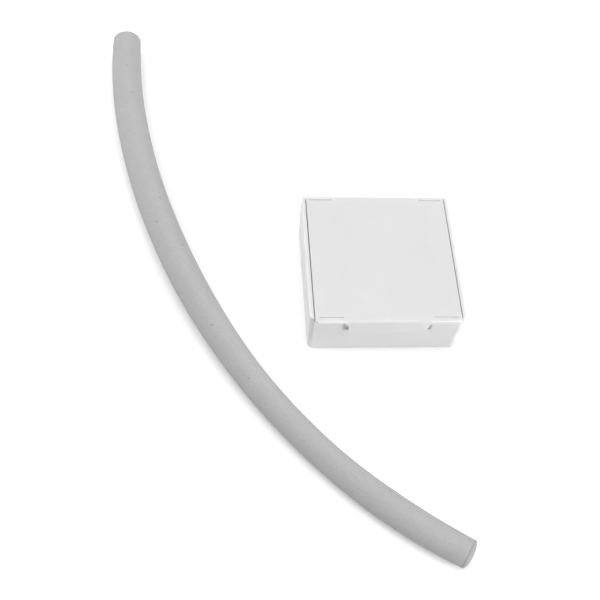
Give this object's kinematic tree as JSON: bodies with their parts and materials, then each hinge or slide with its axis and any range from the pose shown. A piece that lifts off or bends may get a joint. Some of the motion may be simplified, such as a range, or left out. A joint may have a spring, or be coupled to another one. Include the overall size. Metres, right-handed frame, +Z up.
{
  "type": "flexible air stone",
  "caption": "Curved porous air hose with an airline socket and a domed closed end, beside a frosted hinged case of suction-cup clips and an airline joiner.",
  "frame": {"origin": "middle of the whole layout's footprint, on the surface that the hose and the case lie on", "axes": "+Z up; +Y along the hose from its closed end to its inlet, and from the case's latch to its hinge; +X from the hose to the case"},
  "size_m": [0.1465, 0.2674, 0.0235],
  "materials": {
    "porous_hose": "matt, fine-pored foamed plastic, neutral light grey",
    "plug": "matt moulded plastic, the hose's grey",
    "wire": "soft drawn wire",
    "frosted_case": "frosted translucent polypropylene",
    "clear_vinyl": "clear soft vinyl",
    "clear_clip": "clear moulded plastic"
  },
  "bodies": {
    "hose": {"porous_sleeve": "porous_hose", "bend_wire": "wire", "inlet_plug": "plug", "end_plug": "plug"},
    "case": {"case_tray": "frosted_case", "suction_cup_1": "clear_vinyl", "suction_cup_2": "clear_vinyl", "hose_clip_1": "clear_clip", "hose_clip_2": "clear_clip", "airline_joiner": "clear_clip"},
    "lid": {"case_lid": "frosted_case"}
  },
  "joints": [
    {"name": "case_lift", "type": "slide", "parent": "hose", "child": "case", "axis": [0, 0, 1], "range_m": [0, 0.1]},
    {"name": "lid_hinge", "type": "hinge", "parent": "case", "child": "lid", "pos_m": [0.0418, 0.023, 0.0216], "axis": [-1, 0, 0], "range_deg": [0, 180]}
  ]
}
